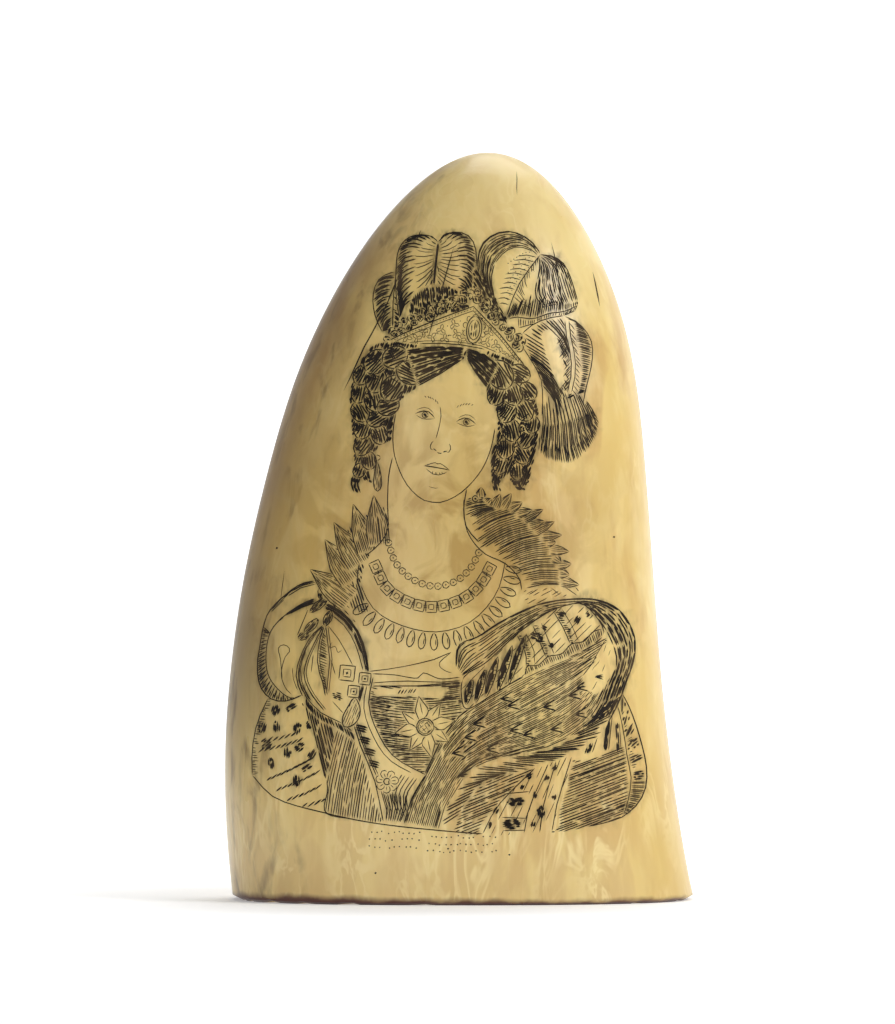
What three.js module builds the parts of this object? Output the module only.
// A sperm whale's tooth, cut flat across the root so that it stands by itself, and polished for engraving.
// It is one solid: the oval, slightly leaning crown outside, and the open pulp hollow in the root inside.
// Millimetres, +Z up. The engraved broad face looks along -Y. The origin is under the middle, on the cut root.
import * as THREE from "three";

// Driving dimensions.
const HEIGHT = 136; // from the cut root to the tip
const HOLLOW_HEIGHT = 58; // how far the pulp hollow reaches up from the cut
const HOLLOW_HALF_WIDTH = 30; // half the hollow's mouth, across the broad face
const HOLLOW_HALF_DEPTH = 16.5; // half the hollow's mouth, front to back
const HOLLOW_BLUNTNESS = 0.62; // the power by which it narrows upwards
const EDGE_EASE = 0.9; // how high the worn edge round the cut reaches
const EDGE_INSET = 1.8; // how far it draws in

// The outline's half width is the smaller, softly blended, of a round nose and a slowly swelling flank.
const NOSE = 59.5; // half width of the nose per square root of its share of the height
const FLANK = { start: 24.6, swell: 29.6, settle: -12.2 }; // half width below the nose, by share of the height
const BLEND = 14; // how sharply the nose turns into the flank

// The middle line wanders sideways, and the tip leans a little back.
const LEAN = { tip: 4.6, first: -10.2, second: -16.3, third: 22.2 };
const LEAN_BACK = 3;

// The section is an oval that is rounder at the tip and squarer at the root.
const DEPTH_SHARE = { tip: 0.74, root: 0.645 }; // depth over width
const SQUARENESS = { tip: 2, root: 2.35 };

// Finish.
const IVORY = { red: 0.87, green: 0.75, blue: 0.51, roughness: 0.28 };

// Facets.
const FACETS_ROUND = 56;
const SKIN_RINGS = 36;
const RING_CROWDING = 1.7; // how much closer the rings lie at the tip
const HOLLOW_RINGS = 13;

const mix = (from, to, share) => from + (to - from) * share;

// Half the width of the skin, where share is the distance below the tip over the height.
function skinHalfWidth(share) {
  const nose = NOSE * Math.sqrt(share);
  const flank = FLANK.start + FLANK.swell * share + FLANK.settle * share ** 2;
  return (nose ** -BLEND + flank ** -BLEND) ** (-1 / BLEND);
}

function skinHalfDepth(share) {
  return skinHalfWidth(share) * mix(DEPTH_SHARE.tip, DEPTH_SHARE.root, share);
}

function middle(share) {
  return {
    x: LEAN.tip + LEAN.first * share + LEAN.second * share ** 2 + LEAN.third * share ** 3,
    y: LEAN_BACK * (1 - share) ** 2,
  };
}

// The hollow narrows upwards to a blunt point, and its share of the mouth depends only on the height.
const hollowShare = (z) => Math.max(0, 1 - z / HOLLOW_HEIGHT) ** HOLLOW_BLUNTNESS;

// The profile that is spun: x is the share of the section's radius, y the height. It starts at the tip,
// comes down the skin, eases round the edge, crosses the cut and goes up the hollow to its blunt point.
function skinProfile() {
  const profile = [];
  for (let ring = 0; ring <= SKIN_RINGS; ring += 1) {
    const share = (ring / SKIN_RINGS) ** RING_CROWDING;
    profile.push(new THREE.Vector2(ring === 0 ? 0 : 1, mix(HEIGHT, EDGE_EASE, share)));
  }
  return profile;
}

function hollowProfile() {
  const profile = [];
  for (let ring = 0; ring <= HOLLOW_RINGS; ring += 1) {
    const z = HOLLOW_HEIGHT * Math.sin((ring / HOLLOW_RINGS) * (Math.PI / 2));
    profile.push(new THREE.Vector2(ring === HOLLOW_RINGS ? 0 : hollowShare(z), z));
  }
  return profile;
}

// A point of the oval section at an angle, for a half width and half depth.
function ovalPoint(angle, halfWidth, halfDepth, squareness) {
  const power = 2 / squareness;
  const along = Math.cos(angle);
  const across = Math.sin(angle);
  return {
    x: halfWidth * Math.sign(along) * Math.abs(along) ** power,
    y: halfDepth * Math.sign(across) * Math.abs(across) ** power,
  };
}

function toothGeometry() {
  const skin = skinProfile();
  const easedEdge = new THREE.Vector2(1 - EDGE_INSET / skinHalfWidth(1), 0);
  const profile = [...skin, easedEdge, ...hollowProfile()].reverse();
  const hollowCount = HOLLOW_RINGS + 1;
  const geometry = new THREE.LatheGeometry(profile, FACETS_ROUND);
  const places = geometry.attributes.position;
  for (let index = 0; index < places.count; index += 1) {
    const inHollow = index % profile.length < hollowCount;
    const angle = Math.atan2(places.getX(index), places.getZ(index));
    const reach = Math.hypot(places.getX(index), places.getZ(index));
    const z = places.getY(index);
    const share = 1 - z / HEIGHT;
    const halfWidth = inHollow ? HOLLOW_HALF_WIDTH : skinHalfWidth(share);
    const halfDepth = inHollow ? HOLLOW_HALF_DEPTH : skinHalfDepth(share);
    const squareness = mix(SQUARENESS.tip, SQUARENESS.root, share);
    const place = ovalPoint(angle, reach * halfWidth, reach * halfDepth, squareness);
    const centre = middle(share);
    places.setXYZ(index, centre.x + place.x, centre.y + place.y, z);
  }
  geometry.deleteAttribute("normal");
  geometry.deleteAttribute("uv");
  geometry.computeBoundingBox();
  const middleOfBox = geometry.boundingBox.getCenter(new THREE.Vector3());
  geometry.translate(-middleOfBox.x, -middleOfBox.y, 0);
  return geometry;
}

const ivory = new THREE.MeshStandardMaterial({
  name: "polished_ivory",
  color: new THREE.Color(IVORY.red, IVORY.green, IVORY.blue),
  roughness: IVORY.roughness,
  metalness: 0,
});

const tooth = new THREE.Mesh(toothGeometry(), ivory);
tooth.name = "tooth";

const part = new THREE.Group();
part.add(tooth);

export default part;
